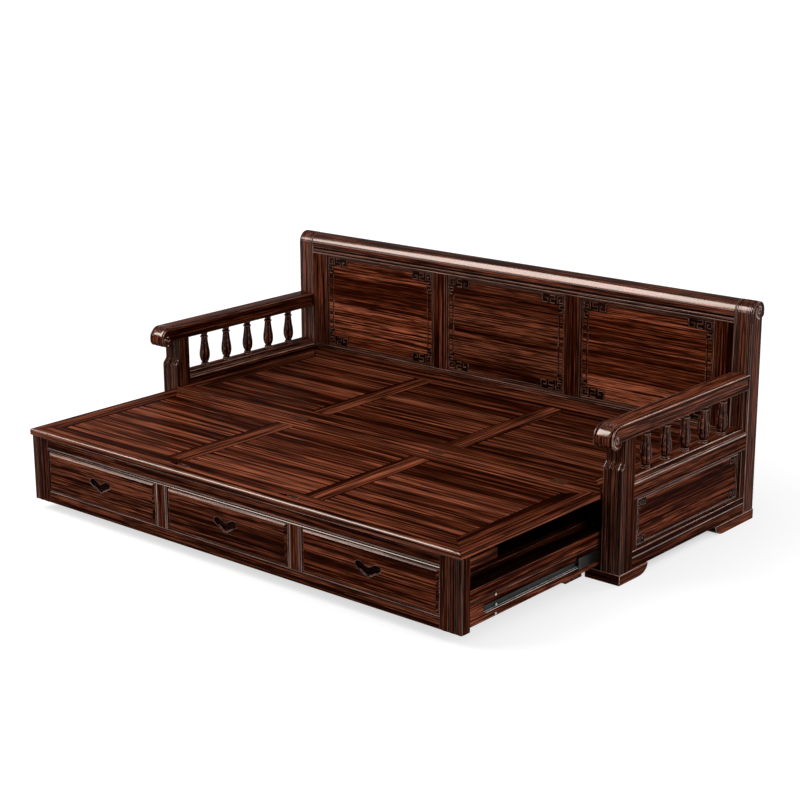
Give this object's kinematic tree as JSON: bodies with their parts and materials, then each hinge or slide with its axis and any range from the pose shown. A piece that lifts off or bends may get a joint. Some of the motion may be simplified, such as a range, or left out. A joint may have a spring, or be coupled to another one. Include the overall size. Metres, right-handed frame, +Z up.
{
  "type": "luohan daybed",
  "caption": "Dark hardwood luohan daybed with panelled back, baluster arms, a fold-over deck board and a pull-out drawer base on telescopic slides.",
  "frame": {"origin": "on the floor, under the middle of the whole with the base pulled out", "axes": "+X to the right of someone facing the front, +Y to the back, +Z up"},
  "size_m": [2.206, 1.628, 0.818],
  "materials": {
    "wood_long": "polished dark striped hardwood, grain along X",
    "wood_deep": "polished dark striped hardwood, grain along Y",
    "wood_upright": "polished dark striped hardwood, grain along Z",
    "wood_pale": "plain sanded carcass wood",
    "slide_steel": "zinc-plated rolled steel",
    "bright_steel": "bright zinc-plated steel",
    "bronze": "dark bronze",
    "roller_nylon": "black nylon"
  },
  "bodies": {
    "frame": {"arm_bottom_rails": "wood_deep", "arm_linings": "wood_deep", "arm_mid_rail_left": "wood_deep", "arm_mid_rail_right": "wood_deep", "arm_panels": "wood_deep", "arm_post_left": "wood_upright", "arm_post_right": "wood_upright", "arm_stiles": "wood_upright", "back_muntins": "wood_upright", "back_panel_centre": "wood_long", "back_panel_left": "wood_long", "back_panel_right": "wood_long", "back_post_left": "wood_upright", "back_post_right": "wood_upright", "back_rail": "wood_long", "back_stiles": "wood_upright", "balusters_left": "wood_upright", "balusters_right": "wood_upright", "crest_rail": "wood_long", "feet": "wood_deep", "handrail_left": "wood_deep", "handrail_right": "wood_deep", "hinge_leaves_fixed": "bronze", "hinge_pins": "bronze", "rear_skirt": "wood_long", "seat_bearers": "wood_long", "seat_end_rails": "wood_deep", "seat_front_rail": "wood_long", "seat_muntins": "wood_deep", "seat_panels": "wood_long", "seat_rear_rail": "wood_long", "slides_outer": "slide_steel"},
    "board": {"board_end_rails": "wood_deep", "board_front_rail": "wood_long", "board_muntins": "wood_deep", "board_panels": "wood_long", "board_rear_rail": "wood_long", "hinge_leaves_board": "bronze"},
    "base": {"base_bottom_boards": "wood_long", "base_bottom_rail": "wood_long", "base_dividers": "wood_upright", "base_posts": "wood_upright", "base_rear_rail": "wood_long", "base_side_rails": "wood_deep", "base_sleepers": "wood_long", "base_top_rail": "wood_long", "drawer_guides": "wood_deep", "rail_screws": "bright_steel", "roller_axles": "bright_steel", "roller_brackets": "bright_steel", "slides_inner": "slide_steel"},
    "slide_middle": {"slides_middle": "slide_steel"},
    "rollers_front_body": {"rollers_front": "roller_nylon"},
    "rollers_rear_body": {"rollers_rear": "roller_nylon"},
    "drawer_left": {"drawer_front_left": "wood_long", "drawer_box_left": "wood_pale"},
    "drawer_centre": {"drawer_front_centre": "wood_long", "drawer_box_centre": "wood_pale"},
    "drawer_right": {"drawer_front_right": "wood_long", "drawer_box_right": "wood_pale"}
  },
  "joints": [
    {"name": "base_slide", "type": "slide", "parent": "frame", "child": "base", "axis": [0, 1, 0], "range_m": [0, 0.735]},
    {"name": "slide_middle_travel", "type": "slide", "parent": "frame", "child": "slide_middle", "axis": [0, 1, 0], "range_m": [0, 0.3675]},
    {"name": "board_fold", "type": "hinge", "parent": "frame", "child": "board", "pos_m": [0, -0.074, 0.313], "axis": [-1, 0, 0], "range_deg": [0, 180]},
    {"name": "rollers_front_spin", "type": "hinge", "parent": "base", "child": "rollers_front_body", "pos_m": [0, -0.674, 0.015], "axis": [1, 0, 0], "continuous": true},
    {"name": "rollers_rear_spin", "type": "hinge", "parent": "base", "child": "rollers_rear_body", "pos_m": [0, -0.207, 0.015], "axis": [1, 0, 0], "continuous": true},
    {"name": "drawer_left_slide", "type": "slide", "parent": "base", "child": "drawer_left", "axis": [0, -1, 0], "range_m": [0, 0.25]},
    {"name": "drawer_centre_slide", "type": "slide", "parent": "base", "child": "drawer_centre", "axis": [0, -1, 0], "range_m": [0, 0.25]},
    {"name": "drawer_right_slide", "type": "slide", "parent": "base", "child": "drawer_right", "axis": [0, -1, 0], "range_m": [0, 0.25]}
  ],
  "couplings": [
    {"joint": "slide_middle_travel", "follows": "base_slide", "ratio": 0.5}
  ]
}
